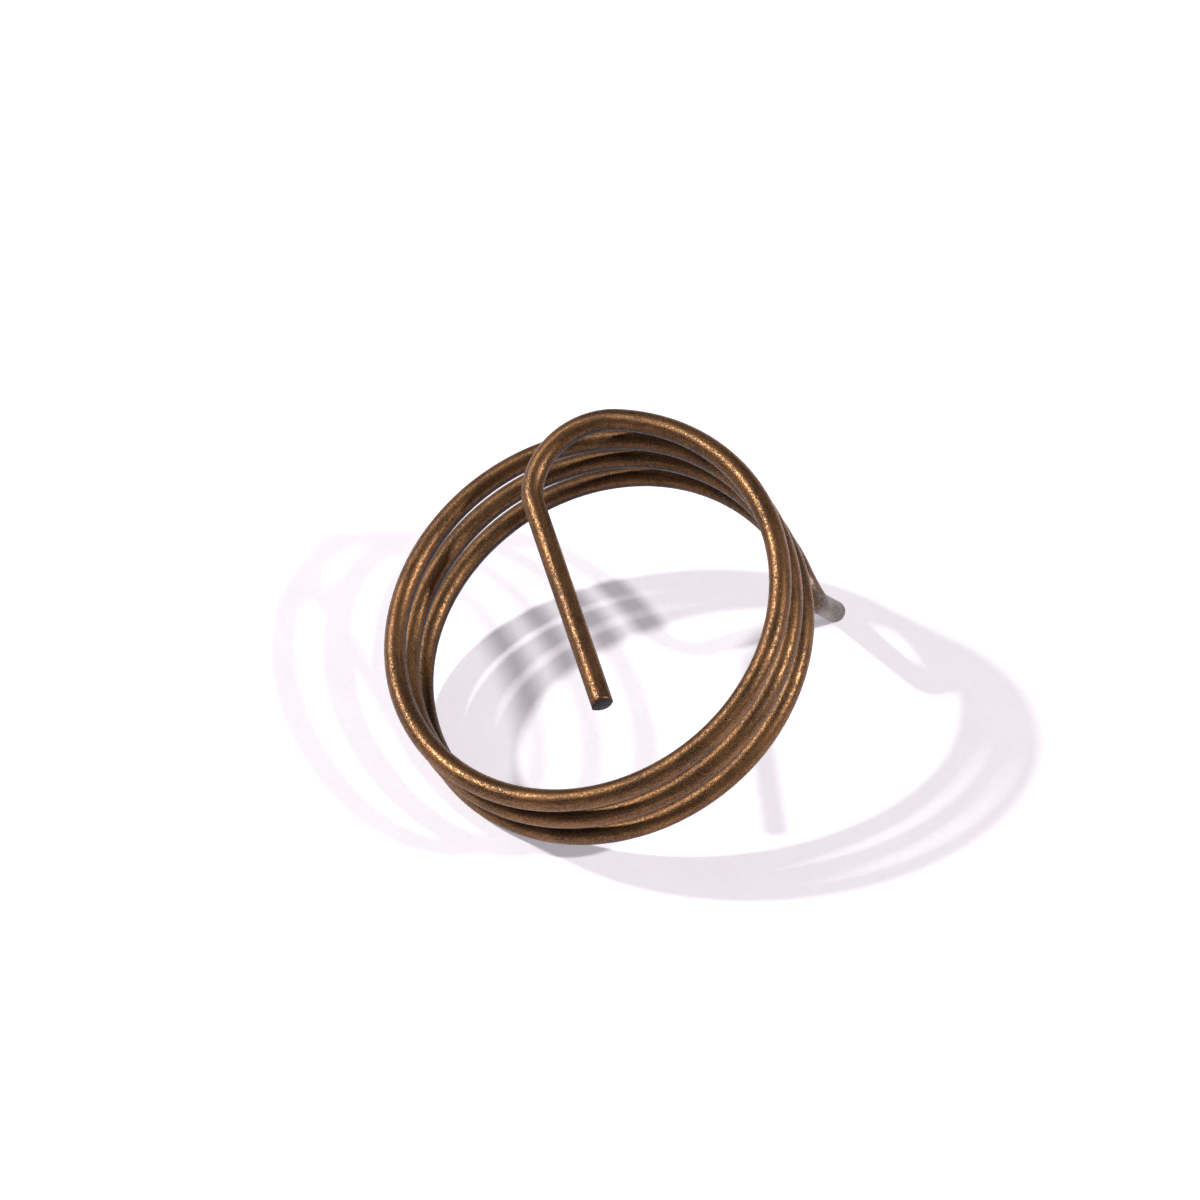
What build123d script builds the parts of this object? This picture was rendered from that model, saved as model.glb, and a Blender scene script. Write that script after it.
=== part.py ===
from build123d import *

import math
import os

# An open-wound coil spring of round wire, bent from one length.  Its top end turns in across
# the mouth as a straight leg, and its bottom end turns down beside the coil as a short tail.
# It lies as it comes to rest: on the low side of its last turn and on the tip of the tail.
# Millimetres, degrees, +Z up, floor at z = 0, origin under the middle of the bounding box.

# ---- driving dimensions ----
wire_diameter = 1.04
coil_mean_diameter = 19.15
coil_pitch = 1.94
coil_turns = 3.164

# Leg across the mouth: an easy bend off the coil, a tighter one, then a straight run.
leg_easy_bend_radius = 3.49
leg_easy_bend_angle = 91.6
leg_tight_bend_radius = 2.29
leg_turn = 117.9
leg_droop = 1.43
leg_straight_length = 11.31

# Tail: one bend down off the last turn, then a straight run.  The lean is from the coil's
# axis, and its bearing is from the tail's root round the axis: 90 is back under the coil.
tail_bend_radius = 1.19
tail_lean = 23.2
tail_lean_bearing = 85.3
tail_straight_length = 5.49

# Cut ends: the shear breaks the rim a little.
end_chamfer = 0.06

# How it lies: the side of the coil that is lowest, from the tail's root round the axis, and
# the way that side points on the floor, from +X.
low_side_bearing = 203.4
floor_bearing = 218.9

wire_radius = wire_diameter / 2
coil_radius = coil_mean_diameter / 2


def direction(bearing, rise):
    """Unit vector at a bearing round the coil's axis, lifted from the plane of a turn."""
    level = math.cos(math.radians(rise))
    x = level * math.cos(math.radians(bearing))
    y = level * math.sin(math.radians(bearing))
    return Vector(x, y, math.sin(math.radians(rise)))


def bend(start, heading, target, radius, angle):
    """End point and end heading of a bend that turns a heading towards a target direction."""
    inward = (target - heading * heading.dot(target)).normalized()
    sine = math.sin(math.radians(angle))
    cosine = math.cos(math.radians(angle))
    end = start + heading * (radius * sine) + inward * (radius * (1 - cosine))
    return end, heading * cosine + inward * sine


# ---- the wire's centre line, with the coil's axis along +Z and the tail's root on +X ----
coil_rise = math.degrees(math.atan(coil_pitch / (math.pi * coil_mean_diameter)))
coil_height = coil_pitch * coil_turns
top_bearing = 360 * coil_turns
coil_bottom = Vector(coil_radius, 0, 0)
coil_top = direction(top_bearing, 0) * coil_radius + Vector(0, 0, coil_height)

tail_heading = direction(tail_lean_bearing, tail_lean - 90)
bottom_heading = direction(-90, -coil_rise)
tail_bend_angle = bottom_heading.get_angle(tail_heading)
tail_root, _ = bend(coil_bottom, bottom_heading, tail_heading, tail_bend_radius, tail_bend_angle)
tail_tip = tail_root + tail_heading * tail_straight_length

top_heading = direction(top_bearing + 90, coil_rise)
leg_heading = direction(top_bearing + 90 + leg_turn, -leg_droop)
leg_tight_bend_angle = top_heading.get_angle(leg_heading) - leg_easy_bend_angle
leg_knee, knee_heading = bend(
    coil_top, top_heading, leg_heading, leg_easy_bend_radius, leg_easy_bend_angle
)
leg_root, _ = bend(
    leg_knee, knee_heading, leg_heading, leg_tight_bend_radius, leg_tight_bend_angle
)
leg_tip = leg_root + leg_heading * leg_straight_length


# ---- how far the coil leans when its low side and the tail's tip are both on the floor ----
def coil_reach(lean):
    """Height of the underside of the last turn at its lowest, at a lean."""
    sine = math.sin(math.radians(lean))
    cosine = math.cos(math.radians(lean))
    past_low_side = math.asin(coil_pitch * cosine / (math.pi * coil_mean_diameter * sine))
    bearing = low_side_bearing - math.degrees(past_low_side)
    height = coil_pitch * bearing / 360
    return height * cosine - coil_radius * math.cos(past_low_side) * sine - wire_radius


def tail_reach(lean):
    """Height of the rim of the tail's tip at its lowest, at a lean."""
    downhill = direction(low_side_bearing, 0)
    sine = math.sin(math.radians(lean))
    cosine = math.cos(math.radians(lean))
    height = tail_tip.Z * cosine - tail_tip.dot(downhill) * sine
    steepness = tail_heading.Z * cosine - tail_heading.dot(downhill) * sine
    return height - (wire_radius - end_chamfer) * math.sqrt(1 - steepness**2)


least_lean = 5.0
most_lean = 60.0
lean_tolerance = 1e-12
resting_lean = least_lean
while most_lean - least_lean > lean_tolerance:
    resting_lean = (least_lean + most_lean) / 2
    if tail_reach(resting_lean) > coil_reach(resting_lean):
        most_lean = resting_lean
    else:
        least_lean = resting_lean

# ---- the spring, swept along its centre line ----
with BuildPart() as wire:
    with BuildLine() as centre_line:
        Line(tail_tip, tail_root)
        TangentArc(tail_root, coil_bottom, tangent=tail_heading * -1)
        Helix(pitch=coil_pitch, height=coil_height, radius=coil_radius)
        TangentArc(coil_top, leg_knee, tangent=top_heading)
        TangentArc(leg_knee, leg_root, tangent=knee_heading)
        Line(leg_root, leg_tip)
    with BuildSketch(Plane(origin=tail_tip, z_dir=tail_heading * -1)):
        Circle(wire_radius)
    sweep(path=centre_line.line)
    rims = wire.edges().filter_by(GeomType.CIRCLE)
    chamfer([rims.sort_by_distance(tip)[0] for tip in (tail_tip, leg_tip)], end_chamfer)

# ---- the spring, leaned over and set down on the floor ----
downhill_frame = Plane(origin=(0, 0, 0), x_dir=direction(low_side_bearing, 0), z_dir=(0, 0, 1))
leaned_frame = Plane(
    origin=(0, 0, 0),
    x_dir=direction(floor_bearing, -resting_lean),
    z_dir=direction(floor_bearing, 90 - resting_lean),
)
leaned = wire.part.moved(downhill_frame.location.inverse()).moved(leaned_frame.location)
box = leaned.bounding_box()

with BuildPart() as spring:
    with Locations((-box.center().X, -box.center().Y, -box.min.Z)):
        add(leaned)
spring.part.label = "spring"

os.makedirs("parts", exist_ok=True)
export_step(spring.part, "parts/spring.step")
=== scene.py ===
"""A coil spring of brown-tinted round wire, resting on a sheet of white paper.

The wire is one length: a short tail bent down beside the coil, a little over three open turns,
and a straight leg turned in across the coil's mouth.  Its skin carries the oxide tint of the
oven, long drawing lines, pits and rubs; the tail has lost its tint, and both ends are sheared.

Sizes are in millimetres and degrees unless a name says otherwise; the scene is in metres.
"""

import logging
import math
from dataclasses import dataclass, field
from enum import Enum
from typing import Any, Union

import bpy
from mathutils import Matrix, Vector, noise


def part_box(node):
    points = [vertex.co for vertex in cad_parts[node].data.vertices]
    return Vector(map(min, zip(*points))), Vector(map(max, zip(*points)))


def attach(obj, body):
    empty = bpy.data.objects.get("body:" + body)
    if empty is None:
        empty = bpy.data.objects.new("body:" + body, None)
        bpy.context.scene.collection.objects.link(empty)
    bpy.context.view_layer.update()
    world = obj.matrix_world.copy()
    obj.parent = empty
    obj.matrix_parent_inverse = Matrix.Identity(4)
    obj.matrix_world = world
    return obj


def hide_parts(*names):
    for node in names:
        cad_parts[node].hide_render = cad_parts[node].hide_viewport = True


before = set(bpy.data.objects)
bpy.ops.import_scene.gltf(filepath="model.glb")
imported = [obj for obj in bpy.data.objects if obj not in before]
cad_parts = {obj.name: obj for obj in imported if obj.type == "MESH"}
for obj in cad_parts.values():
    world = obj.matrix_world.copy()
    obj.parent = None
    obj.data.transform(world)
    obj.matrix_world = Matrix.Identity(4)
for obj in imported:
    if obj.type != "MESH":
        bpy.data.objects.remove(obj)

MM = 0.001
Colour = tuple[float, float, float, float]
log = logging.getLogger("spring")


# ---------------------------------------------------------------------------------------------
# Shader maths
# ---------------------------------------------------------------------------------------------
class Signal:
    """One output socket of a shader tree, which Python arithmetic turns into Math nodes."""

    def __init__(self, tree: "Tree", socket: bpy.types.NodeSocket) -> None:
        """Keeps the socket and the tree it belongs to."""
        self.tree = tree
        self.socket = socket

    def _math(self, operation: str, *terms: "Term") -> "Signal":
        """Adds one Math node on these terms."""
        return self.tree.node("ShaderNodeMath", {"operation": operation}, dict(enumerate(terms)))

    def __add__(self, other: "Term") -> "Signal":
        """self + other"""
        return self._math("ADD", self, other)

    def __radd__(self, other: "Term") -> "Signal":
        """other + self"""
        return self._math("ADD", other, self)

    def __sub__(self, other: "Term") -> "Signal":
        """self - other"""
        return self._math("SUBTRACT", self, other)

    def __rsub__(self, other: "Term") -> "Signal":
        """other - self"""
        return self._math("SUBTRACT", other, self)

    def __mul__(self, other: "Term") -> "Signal":
        """self * other"""
        return self._math("MULTIPLY", self, other)

    def __rmul__(self, other: "Term") -> "Signal":
        """other * self"""
        return self._math("MULTIPLY", other, self)

    def larger(self, other: "Term") -> "Signal":
        """The larger of the two."""
        return self._math("MAXIMUM", self, other)

    def eased(self, low: float, high: float) -> "Signal":
        """0 below low and 1 above high, with a smooth step between; high may be the lower."""
        settings = {"interpolation_type": "SMOOTHSTEP", "clamp": True}
        if low < high:
            return self.tree.node("ShaderNodeMapRange", settings, {0: self, 1: low, 2: high})
        return 1.0 - self.tree.node("ShaderNodeMapRange", settings, {0: self, 1: high, 2: low})


Term = Union[Signal, float]
Tint = Union[Signal, Colour]


class Tree:
    """The node tree of one material or of the world."""

    def __init__(self, owner: Any) -> None:
        """Empties the owner's tree, ready for new nodes."""
        owner.use_nodes = True
        self.tree = owner.node_tree
        self.tree.nodes.clear()

    def node(
        self,
        kind: str,
        settings: dict[str, Any] | None = None,
        values: dict[Any, Any] | None = None,
        output: Any = 0,
    ) -> Signal:
        """Adds a node.

        Args:
            kind: The node's Blender type.
            settings: Its own settings, set first.
            values: Numbers, colours or Signals for its sockets, by name or number.
            output: The output to give back, by name or number.

        Returns:
            That output.
        """
        made = self.tree.nodes.new(kind)
        for name, setting in (settings or {}).items():
            setattr(made, name, setting)
        for name, value in (values or {}).items():
            if isinstance(value, Signal):
                self.tree.links.new(value.socket, made.inputs[name])
            else:
                made.inputs[name].default_value = value
        return Signal(self, made.outputs[output] if len(made.outputs) else None)

    def attribute(self, name: str, output: str = "Fac") -> Signal:
        """A value that the mesh carries at each point."""
        return self.node("ShaderNodeAttribute", {"attribute_name": name}, output=output)

    def scaled(self, vector: Signal, by: tuple[float, float, float]) -> Signal:
        """A vector stretched along each of its axes."""
        return self.node("ShaderNodeVectorMath", {"operation": "MULTIPLY"}, {0: vector, 1: by})

    def noise(self, vector: Signal, detail: float = 2.0, coarse: float = 0.5) -> Signal:
        """Cloudy noise with features about one unit across, from 0 to 1 round 0.5."""
        values = {"Vector": vector, "Scale": 1.0, "Detail": detail, "Roughness": coarse}
        return self.node("ShaderNodeTexNoise", {"noise_dimensions": "3D"}, values)

    def cells(self, vector: Signal) -> Signal:
        """Scattered points about one unit apart, as the distance to the nearest of them."""
        values = {"Vector": vector, "Scale": 1.0}
        return self.node("ShaderNodeTexVoronoi", None, values, "Distance")

    def mix(self, share: Term, first: Tint, second: Tint) -> Signal:
        """Two colours mixed; share 1 gives the second."""
        values = {0: share, 6: first, 7: second}
        return self.node("ShaderNodeMix", {"data_type": "RGBA"}, values, output=2)

    def bump(self, height: Signal, depth_mm: float) -> Signal:
        """A normal from a height, which is 0 to 1 over this many millimetres."""
        values = {"Strength": 1.0, "Distance": depth_mm * MM, "Height": height}
        return self.node("ShaderNodeBump", None, values)


# ---------------------------------------------------------------------------------------------
# Finishes
# ---------------------------------------------------------------------------------------------
@dataclass(frozen=True)
class TintedWire:
    """Hard-drawn steel wire with a brown oven tint, worn bare on the tail and cut at the ends.

    The sizes of its marks are marks per millimetre: along the wire, then twice across it.
    """

    brown: Colour = (0.165, 0.077, 0.031, 1.0)
    umber: Colour = (0.084, 0.041, 0.020, 1.0)
    straw: Colour = (0.330, 0.168, 0.064, 1.0)
    soot: Colour = (0.024, 0.016, 0.015, 1.0)
    # Painted shade colour: the near-black violet that the wire's lower, inward side is darkened to.
    painted_shade_violet: Colour = (0.013, 0.011, 0.017, 1.0)
    bare_steel: Colour = (0.150, 0.132, 0.122, 1.0)
    cut_steel: Colour = (0.055, 0.055, 0.068, 1.0)
    smooth: float = 0.33
    dull: float = 0.54
    metal: float = 0.82
    relief: float = 0.010
    streak: tuple[float, float, float] = (0.55, 6.0, 6.0)
    line: tuple[float, float, float] = (0.9, 24.0, 24.0)
    cloud: tuple[float, float, float] = (0.5, 1.3, 1.3)
    grit: tuple[float, float, float] = (9.0, 13.0, 13.0)
    fleck: tuple[float, float, float] = (17.0, 23.0, 23.0)
    patch: tuple[float, float, float] = (0.6, 1.3, 1.3)
    pit: tuple[float, float, float] = (3.4, 4.6, 4.6)

    def material(self) -> bpy.types.Material:
        """Builds the finish.

        Returns:
            The material, which reads the wire's "drawn", "bare", "cut" and painted-shade values.
        """
        made = bpy.data.materials.new("tinted_wire")
        tree = Tree(made)
        drawn = tree.attribute("drawn", "Vector")
        bare = tree.attribute("bare")
        cut = tree.attribute("cut")
        painted_shade = tree.attribute("painted_shade")

        streaks = tree.noise(tree.scaled(drawn, self.streak), 4.0, 0.6)
        lines = tree.noise(tree.scaled(drawn, self.line), 3.0, 0.6)
        clouds = tree.noise(tree.scaled(drawn, self.cloud), 3.0, 0.55)
        grain = tree.noise(tree.scaled(drawn, self.grit), 2.0, 0.6)
        sparkle = tree.noise(tree.scaled(drawn, self.fleck), 1.0, 0.5)
        pit_patch = tree.noise(tree.scaled(drawn, self.patch), 2.0).eased(0.54, 0.66)
        pit_edge = tree.cells(tree.scaled(drawn, self.pit)) + (grain - 0.5) * 0.5
        pits = pit_edge.eased(0.24, 0.12) * pit_patch

        tint = tree.mix(clouds.eased(0.38, 0.62), self.brown, self.umber)
        tint = tree.mix(streaks.eased(0.50, 0.72) * 0.35, tint, self.straw)
        tint = tree.mix(sparkle.eased(0.48, 0.70) * 0.8, tint, self.straw)
        tint = tree.mix(grain.eased(0.50, 0.70) * 0.55, tint, self.soot)
        tint = tree.mix(pits * 0.85, tint, self.soot)
        # Painted shade: the wire's lower, inward side is darkened towards near-black violet,
        # following the painted-shade value on the mesh, with a little noise at its edge.
        shade = (painted_shade + (streaks - 0.5) * 0.2 + (grain - 0.5) * 0.2).eased(0.04, 0.55)
        tint = tree.mix(shade * 0.97, tint, self.painted_shade_violet)
        steel = tree.mix((grain + clouds - 0.5).eased(0.36, 0.66) * 0.8, self.bare_steel, self.umber)
        tint = tree.mix(bare, tint, steel)
        tint = tree.mix(cut, tint, tree.mix(streaks, self.cut_steel, self.soot))

        roughness = self.smooth + grain.eased(0.38, 0.62) * (self.dull - self.smooth)
        roughness = roughness + (lines - 0.5) * 0.16 + bare * 0.06 + cut * 0.12

        height = lines * 0.30 + grain * 0.9 + sparkle * 0.5 + streaks * 0.4 - pits * 0.9
        normal = tree.bump(height, self.relief)

        shader = tree.node(
            "ShaderNodeBsdfPrincipled",
            None,
            {
                "Base Color": tint,
                "Metallic": self.metal,
                "Roughness": roughness,
                "Normal": normal,
                "Specular IOR Level": 0.5,
            },
        )
        tree.node("ShaderNodeOutputMaterial", None, {"Surface": shader})
        return made


@dataclass(frozen=True)
class PaperSheet:
    """Smooth white paper, a little lilac where it is shaded.

    Its tooth is in millimetres, and the scales of its marks are marks per metre.
    """

    paper: Colour = (0.90, 0.845, 0.885, 1.0)
    fibre: Colour = (0.80, 0.75, 0.80, 1.0)
    lift: float = 0.38
    mottle: float = 0.9
    tooth: float = 0.012
    fibre_scale: tuple[float, float, float] = (2600.0, 3400.0, 3000.0)
    cloud_scale: tuple[float, float, float] = (260.0, 260.0, 260.0)

    def material(self) -> bpy.types.Material:
        """Builds the paper, which also shows a little light of its own to the camera."""
        made = bpy.data.materials.new("white_paper")
        tree = Tree(made)
        place = tree.node("ShaderNodeTexCoord", output="Object")
        fibres = tree.noise(tree.scaled(place, self.fibre_scale), 4.0, 0.65)
        clouds = tree.noise(tree.scaled(place, self.cloud_scale), 3.0)
        shade = tree.mix((fibres + clouds - 0.7) * self.mottle, self.paper, self.fibre)
        normal = tree.bump(fibres, self.tooth)
        sheet = tree.node(
            "ShaderNodeBsdfPrincipled",
            None,
            {"Base Color": shade, "Roughness": 0.9, "Specular IOR Level": 0.2, "Normal": normal},
        )
        seen = [
            tree.node("ShaderNodeLightPath", output=kind)
            for kind in ("Is Camera Ray", "Is Glossy Ray", "Is Transmission Ray")
        ]
        strength = seen[0].larger(seen[1]).larger(seen[2]) * self.lift
        glow = tree.node("ShaderNodeEmission", None, {"Color": shade, "Strength": strength})
        both = tree.node("ShaderNodeAddShader", None, {0: sheet, 1: glow})
        tree.node("ShaderNodeOutputMaterial", None, {"Surface": both})
        return made


# ---------------------------------------------------------------------------------------------
# The wire's line
# ---------------------------------------------------------------------------------------------
class Stretch(Enum):
    """The stretches of the wire, from the tail's tip to the leg's tip."""

    TAIL = "tail"
    TAIL_BEND = "tail bend"
    COIL = "coil"
    LEG_EASY_BEND = "leg's easy bend"
    LEG_TIGHT_BEND = "leg's tight bend"
    LEG = "leg"


@dataclass
class Station:
    """One place on the wire's centre line."""

    point: Vector
    heading: Vector
    along: float
    stretch: Stretch


def direction(bearing: float, rise: float) -> Vector:
    """Unit vector at a bearing round the coil's axis, lifted from the plane of a turn."""
    level = math.cos(math.radians(rise))
    turn = math.radians(bearing)
    return Vector((level * math.cos(turn), level * math.sin(turn), math.sin(math.radians(rise))))


@dataclass
class WireLine:
    """The centre line of the wire, with the coil's axis along +Z and the tail's root on +X."""

    coil_mean_diameter: float = 19.15
    coil_pitch: float = 1.94
    coil_turns: float = 3.164
    leg_easy_bend_radius: float = 3.49
    leg_easy_bend_angle: float = 91.6
    leg_tight_bend_radius: float = 2.29
    leg_turn: float = 117.9
    leg_droop: float = 1.43
    leg_straight_length: float = 11.31
    tail_bend_radius: float = 1.19
    tail_lean: float = 23.2
    tail_lean_bearing: float = 85.3
    tail_straight_length: float = 5.49
    spacing: float = 0.2
    stations: list[Station] = field(default_factory=list)

    def length(self, stretch: Stretch) -> float:
        """The length of wire in one stretch."""
        places = [i for i, station in enumerate(self.stations) if station.stretch is stretch]
        return self.stations[places[-1]].along - self.stations[max(places[0] - 1, 0)].along

    def _add(self, point: Vector, heading: Vector, stretch: Stretch) -> None:
        """Adds a station, measured on from the last one."""
        last = self.stations[-1] if self.stations else None
        along = last.along + (point - last.point).length if last else 0.0
        self.stations.append(Station(point, heading.normalized(), along, stretch))

    def _straight(self, heading: Vector, length: float, stretch: Stretch) -> None:
        """Runs straight on from the last station."""
        start = self.stations[-1].point
        count = max(2, round(length / self.spacing))
        for i in range(1, count + 1):
            self._add(start + heading * (length * i / count), heading, stretch)

    def _bend(self, target: Vector, radius: float, angle: float, stretch: Stretch) -> None:
        """Turns from the last station's heading towards a target direction.

        Args:
            target: The direction that the wire turns towards.
            radius: The bend's radius.
            angle: How far it turns, in degrees.
            stretch: The name of the bend.
        """
        start = self.stations[-1].point
        heading = self.stations[-1].heading
        inward = (target - heading * heading.dot(target)).normalized()
        count = max(8, round(math.radians(angle) * radius / self.spacing))
        for i in range(1, count + 1):
            turned = math.radians(angle) * i / count
            forward = heading * math.sin(turned) + inward * (1 - math.cos(turned))
            self._add(
                start + forward * radius,
                heading * math.cos(turned) + inward * math.sin(turned),
                stretch,
            )

    def run(self) -> list[Station]:
        """Lays the whole line out.

        Returns:
            Its stations, from the tail's tip to the leg's tip.
        """
        radius = self.coil_mean_diameter / 2
        rise = math.degrees(math.atan(self.coil_pitch / (math.pi * self.coil_mean_diameter)))
        top = 360 * self.coil_turns
        coil_bottom = Vector((radius, 0.0, 0.0))

        tail_heading = direction(self.tail_lean_bearing, self.tail_lean - 90)
        bottom_heading = direction(-90, -rise)
        turned = bottom_heading.angle(tail_heading)
        inward = (tail_heading - bottom_heading * bottom_heading.dot(tail_heading)).normalized()
        forward = bottom_heading * math.sin(turned) + inward * (1 - math.cos(turned))
        tail_root = coil_bottom + forward * self.tail_bend_radius

        self._add(tail_root + tail_heading * self.tail_straight_length, -tail_heading, Stretch.TAIL)
        self._straight(-tail_heading, self.tail_straight_length, Stretch.TAIL)
        self._bend(
            -bottom_heading, self.tail_bend_radius, math.degrees(turned), Stretch.TAIL_BEND
        )

        count = round(math.pi * self.coil_mean_diameter * self.coil_turns / self.spacing)
        for i in range(1, count + 1):
            bearing = top * i / count
            height = Vector((0.0, 0.0, self.coil_pitch * bearing / 360))
            self._add(
                direction(bearing, 0) * radius + height, direction(bearing + 90, rise), Stretch.COIL
            )

        top_heading = direction(top + 90, rise)
        leg_heading = direction(top + 90 + self.leg_turn, -self.leg_droop)
        rest = math.degrees(top_heading.angle(leg_heading)) - self.leg_easy_bend_angle
        self._bend(
            leg_heading, self.leg_easy_bend_radius, self.leg_easy_bend_angle, Stretch.LEG_EASY_BEND
        )
        self._bend(leg_heading, self.leg_tight_bend_radius, rest, Stretch.LEG_TIGHT_BEND)
        self._straight(leg_heading, self.leg_straight_length, Stretch.LEG)
        return self.stations


# ---------------------------------------------------------------------------------------------
# The spring
# ---------------------------------------------------------------------------------------------
@dataclass
class Resting:
    """How the coil lies: how far it leans, and which of its sides is lowest."""

    lean: float = 21.60983
    low_side_bearing: float = 203.4
    floor_bearing: float = 218.9

    def turn(self) -> Matrix:
        """The rotation from the coil's own axes to the floor's."""
        own = self._axes(direction(self.low_side_bearing, 0), Vector((0.0, 0.0, 1.0)))
        downhill = direction(self.floor_bearing, -self.lean)
        return self._axes(downhill, direction(self.floor_bearing, 90 - self.lean)) @ own.transposed()

    def _axes(self, x: Vector, z: Vector) -> Matrix:
        """A frame from its X and Z axes, as the columns of a matrix."""
        return Matrix((x, z.cross(x), z)).transposed()


@dataclass
class CutEnd:
    """A sheared end: a broken rim, a slightly domed face and a burr on one side.

    The burr spreads over an angle each way, and the torn face has lumps of a height.
    """

    rim_break: float = 0.06
    dome: float = 0.035
    burr: float = 0.05
    burr_bearing: float = 0.0
    burr_spread: float = 16.0
    lump_height: float = 0.018
    lumps_per_mm: float = 5.0
    face_rings: int = 12


@dataclass
class Spring:
    """The whole spring, swept from its wire.

    The tail is bare for a length, with a ragged edge that fades over a length.  Inside the coil, up
    to where the leg starts, the wire's side that looks mostly down and a little inward gets painted
    shade.
    """

    wire_diameter: float = 1.04
    sides: int = 48
    waviness: float = 0.0035
    waves_along: float = 0.45
    waves_round: float = 0.8
    bare_length: float = 8.2
    bare_ragged: float = 0.9
    bare_fade: float = 2.2
    leg_start: float = 203.7
    leg_fade: float = 3.0
    # How the painted shade is aimed: mostly down, a little inward, and how far it spreads round the
    # wire.
    painted_shade_inward: float = 0.30
    painted_shade_below: float = 0.95
    painted_shade_spread: float = 0.2
    line: WireLine = field(default_factory=WireLine)
    resting: Resting = field(default_factory=Resting)
    tail_end: CutEnd = field(default_factory=CutEnd)
    leg_end: CutEnd = field(default_factory=lambda: CutEnd(burr=0.08))
    finish: TintedWire = field(default_factory=TintedWire)
    points: list[Vector] = field(default_factory=list)
    faces: list[tuple[int, ...]] = field(default_factory=list)
    drawn: list[Vector] = field(default_factory=list)
    bare: list[float] = field(default_factory=list)
    cut: list[float] = field(default_factory=list)
    painted_shade: list[float] = field(default_factory=list)

    def _ring(
        self, centre: Vector, across: Vector, up: Vector, radii: list[float], along: float, cut: float
    ) -> None:
        """Adds one ring of points round the wire.

        Args:
            centre: The ring's middle.
            across: The first of its two cross axes.
            up: The second.
            radii: The distance of each point from the middle.
            along: The ring's distance from the tail's tip.
            cut: How far the ring is on a cut face, 0 to 1.
        """
        # Painted shade: how far each point faces down and a little inward, kept inside the coil, for
        # the finish to darken.
        inward = -Vector((centre.x, centre.y, 0.0)).normalized()
        shaded_way = inward * self.painted_shade_inward - Vector((0.0, 0.0, self.painted_shade_below))
        in_coil = min(1.0, max(0.0, (self.leg_start - along) / self.leg_fade))
        for k, radius in enumerate(radii):
            turn = 2 * math.pi * k / self.sides
            spoke = across * math.cos(turn) + up * math.sin(turn)
            self.points.append(centre + spoke * radius)
            self.drawn.append(Vector((along, radius * math.cos(turn), radius * math.sin(turn))))
            unevenness = noise.noise(Vector((along, math.cos(turn), math.sin(turn))))
            ragged = along + self.bare_ragged * unevenness
            self.bare.append(min(1.0, max(0.0, (self.bare_length - ragged) / self.bare_fade)))
            self.cut.append(cut)
            painted_shade = max(0.0, spoke.dot(shaded_way) + self.painted_shade_spread)
            self.painted_shade.append(painted_shade * in_coil)

    def _cap(
        self, station: Station, outward: Vector, across: Vector, up: Vector, end: CutEnd
    ) -> None:
        """Adds the rings of a cut end, from its broken rim to the middle of its face.

        Args:
            station: The tip of the wire's line.
            outward: The way that the face looks.
            across: The first cross axis of the section.
            up: The second.
            end: The cut's sizes.
        """
        radius = self.wire_diameter / 2
        for i in range(end.face_rings):
            share = 1 - i / (end.face_rings - 0.5)
            reach = (radius - end.rim_break) * share
            radii = []
            for k in range(self.sides):
                turn = math.degrees(2 * math.pi * k / self.sides)
                off = (turn - end.burr_bearing + 180) % 360 - 180
                flare = end.burr * math.exp(-((off / end.burr_spread) ** 2)) if i == 0 else 0.0
                radii.append(reach + flare)
            lift = end.dome * (1 - share**2)
            self._ring(station.point + outward * lift, across, up, radii, station.along, 1.0)
            for k in range(self.sides):
                spot = self.points[-self.sides + k]
                rough = noise.noise(spot * end.lumps_per_mm) * end.lump_height * min(1.0, i / 2)
                self.points[-self.sides + k] = spot + outward * rough

    def _section(self, station: Station) -> list[float]:
        """The wire's radius round its section, a little uneven along its length."""
        radius = self.wire_diameter / 2
        radii = []
        for k in range(self.sides):
            turn = 2 * math.pi * k / self.sides
            across = math.cos(turn) * self.waves_round
            up = math.sin(turn) * self.waves_round
            spot = Vector((station.along * self.waves_along, across, up))
            radii.append(radius + self.waviness * noise.noise(spot))
        return radii

    def _sweep(self) -> None:
        """Sweeps the section along the line without twisting it."""
        stations = self.line.run()
        heading = stations[0].heading
        across = heading.orthogonal().normalized()
        first = stations[0]
        up = heading.cross(across)
        self._cap(first, -heading, across, up, self.tail_end)
        self._turn_back()
        for station in stations:
            turn = heading.rotation_difference(station.heading)
            across = (turn @ across).normalized()
            heading = station.heading
            up = heading.cross(across)
            if station is stations[0]:
                shifted = station.point + heading * self.tail_end.rim_break
            elif station is stations[-1]:
                shifted = station.point - heading * self.leg_end.rim_break
            else:
                shifted = station.point
            self._ring(shifted, across, up, self._section(station), station.along, 0.0)
        self._cap(stations[-1], heading, across, up, self.leg_end)

    def _turn_back(self) -> None:
        """Puts the rings that are there so far into the opposite order."""
        for name in ("points", "drawn", "bare", "cut", "painted_shade"):
            values = getattr(self, name)
            rings = [values[i : i + self.sides] for i in range(0, len(values), self.sides)]
            setattr(self, name, [value for ring in reversed(rings) for value in ring])

    def _skin(self) -> None:
        """Joins the rings with faces and closes both ends."""
        rings = len(self.points) // self.sides
        for i in range(rings - 1):
            low = i * self.sides
            high = low + self.sides
            for k in range(self.sides):
                after = (k + 1) % self.sides
                self.faces.append((low + k, low + after, high + after, high + k))
        self.faces.append(tuple(range(self.sides))[::-1])
        self.faces.append(tuple(range((rings - 1) * self.sides, rings * self.sides)))

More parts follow.
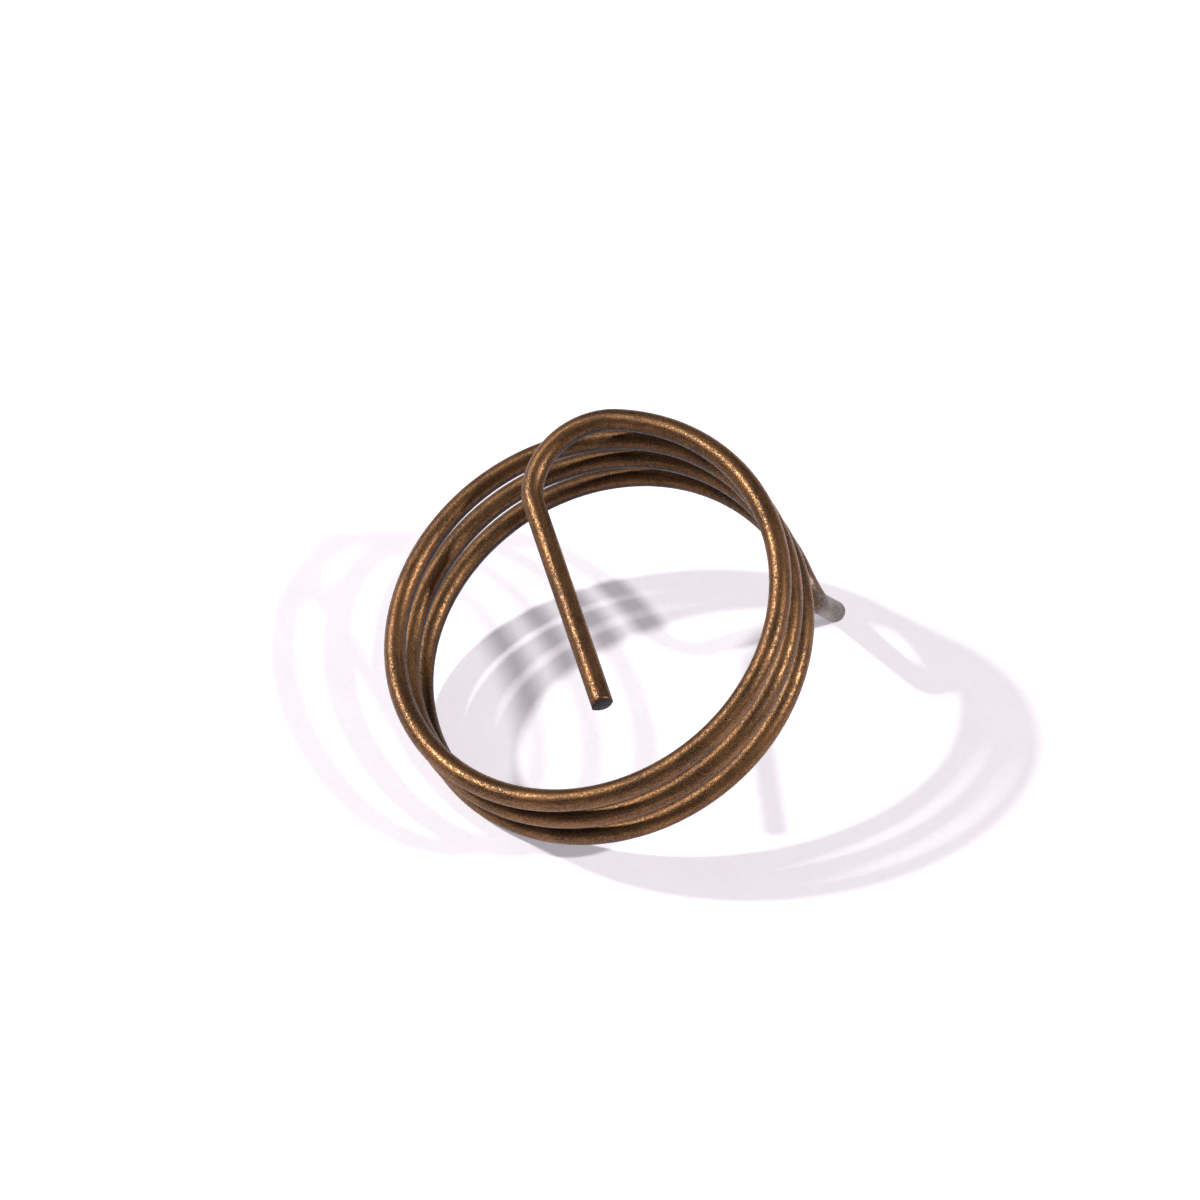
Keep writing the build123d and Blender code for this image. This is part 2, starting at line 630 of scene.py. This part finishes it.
    def _placed(self) -> list[Vector]:
        """The points leaned over, set on the floor and scaled to metres."""
        turn = self.resting.turn()
        leaned = [turn @ point * MM for point in self.points]
        low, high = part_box("spring")
        own_low = [min(p[axis] for p in leaned) for axis in range(3)]
        own_high = [max(p[axis] for p in leaned) for axis in range(3)]
        move = [
            (low.x + high.x - own_low[0] - own_high[0]) / 2,
            (low.y + high.y - own_low[1] - own_high[1]) / 2,
            low.z - own_low[2],
        ]
        return [point + Vector(move) for point in leaned]

    def build(self) -> bpy.types.Object:
        """Builds the spring and dresses it.

        Returns:
            The spring's object, riding on the part's body.
        """
        self._sweep()
        self._skin()
        mesh = bpy.data.meshes.new("spring_wire")
        mesh.from_pydata(self._placed(), [], self.faces)
        mesh.validate()
        mesh.shade_smooth()
        self._carry(mesh)
        wire = bpy.data.objects.new("spring_wire", mesh)
        bpy.context.scene.collection.objects.link(wire)
        mesh.materials.append(self.finish.material())
        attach(wire, "root")
        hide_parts("spring")
        whole = self.line.stations[-1].along
        log.info("spring_wire: %d faces, %.1f mm of wire", len(mesh.polygons), whole)
        for stretch in Stretch:
            log.info("the %s: %.1f mm", stretch.value, self.line.length(stretch))
        return wire

    def _carry(self, mesh: bpy.types.Mesh) -> None:
        """Writes the wire's own values onto the mesh, for its finish to read."""
        drawn = mesh.attributes.new("drawn", "FLOAT_VECTOR", "POINT")
        drawn.data.foreach_set("vector", [part for value in self.drawn for part in value])
        worn = (("bare", self.bare), ("cut", self.cut), ("painted_shade", self.painted_shade))
        for name, values in worn:
            mesh.attributes.new(name, "FLOAT", "POINT").data.foreach_set("value", values)


# ---------------------------------------------------------------------------------------------
# The table, the lamps and the camera
# ---------------------------------------------------------------------------------------------
@dataclass
class Table:
    """The sheet of paper that the spring lies on."""

    half_width: float = 1500.0
    paper: PaperSheet = field(default_factory=PaperSheet)

    def build(self) -> bpy.types.Object:
        """Lays the paper at the height of the spring's lowest point."""
        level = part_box("spring")[0].z
        half = self.half_width * MM
        signs = ((-1, -1), (1, -1), (1, 1), (-1, 1))
        edge = [(x * half, y * half, level) for x, y in signs]
        mesh = bpy.data.meshes.new("paper")
        mesh.from_pydata(edge, [], [(0, 1, 2, 3)])
        mesh.materials.append(self.paper.material())
        sheet = bpy.data.objects.new("paper", mesh)
        bpy.context.scene.collection.objects.link(sheet)
        return sheet


class Side(Enum):
    """The two lamps."""

    LEFT = "left_lamp"
    RIGHT = "right_lamp"


@dataclass
class Lamp:
    """One soft lamp, far enough off for its light to be even over the table.

    It hangs towards a direction from the spring, and its width is an angle in degrees.
    """

    side: Side
    towards: tuple[float, float, float]
    strength: float
    width: float = 3.5
    colour: tuple[float, float, float] = (1.0, 1.0, 1.0)

    def build(self) -> None:
        """Hangs the lamp."""
        data = bpy.data.lights.new(self.side.value, "SUN")
        data.energy = self.strength
        data.angle = math.radians(self.width)
        data.color = self.colour
        lamp = bpy.data.objects.new(self.side.value, data)
        lamp.rotation_mode = "QUATERNION"
        lamp.rotation_quaternion = Vector(self.towards).to_track_quat("Z", "Y")
        bpy.context.scene.collection.objects.link(lamp)
        log.info("%s: strength %.2f", self.side.value, self.strength)


@dataclass
class Room:
    """The dim room round the table."""

    wall: Colour = (0.14, 0.136, 0.152, 1.0)

    def build(self) -> None:
        """Gives the world the room's even light."""
        world = bpy.data.worlds.new("room")
        bpy.context.scene.world = world
        tree = Tree(world)
        light = tree.node("ShaderNodeBackground", None, {"Color": self.wall, "Strength": 1.0})
        tree.node("ShaderNodeOutputWorld", None, {"Surface": light})


@dataclass
class Viewpoint:
    """The camera, looking down on the spring from the front."""

    looks_at: tuple[float, float, float] = (-0.787, 7.161, 0.0)
    distance: float = 240.33
    elevation: float = 48.237
    roll: float = 2.589
    lens: float = 147.87
    sensor: float = 36.0
    nearest: float = 10.0
    farthest: float = 10000.0

    def build(self) -> None:
        """Sets the camera up and makes it the scene's."""
        rise = math.radians(self.elevation)
        roll = math.radians(self.roll)
        onward = Vector((0.0, math.cos(rise), -math.sin(rise)))
        down = Vector((0.0, -math.sin(rise), -math.cos(rise)))
        level = Vector((1.0, 0.0, 0.0))
        right = level * math.cos(roll) + down * math.sin(roll)
        below = down * math.cos(roll) - level * math.sin(roll)
        data = bpy.data.cameras.new("camera")
        data.lens = self.lens
        data.sensor_width = self.sensor
        data.clip_start = self.nearest * MM
        data.clip_end = self.farthest * MM
        camera = bpy.data.objects.new("camera", data)
        place = (Vector(self.looks_at) - onward * self.distance) * MM
        turn = Matrix((right, -below, -onward)).transposed().to_4x4()
        camera.matrix_world = Matrix.Translation(place) @ turn
        bpy.context.scene.collection.objects.link(camera)
        bpy.context.scene.camera = camera


def main() -> None:
    """Builds the spring, the paper under it, the lamps and the camera."""
    logging.basicConfig(level=logging.INFO, format="%(name)s: %(message)s", force=True)
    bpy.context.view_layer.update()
    Viewpoint().build()
    Spring().build()
    Table().build()
    Lamp(Side.LEFT, towards=(-1.046, 0.271, 1.0), strength=2.85).build()
    Lamp(Side.RIGHT, towards=(1.114, -0.338, 1.0), strength=2.25).build()
    Room().build()
    bpy.context.scene.view_settings.view_transform = "Standard"


if __name__ == "__main__":
    main()
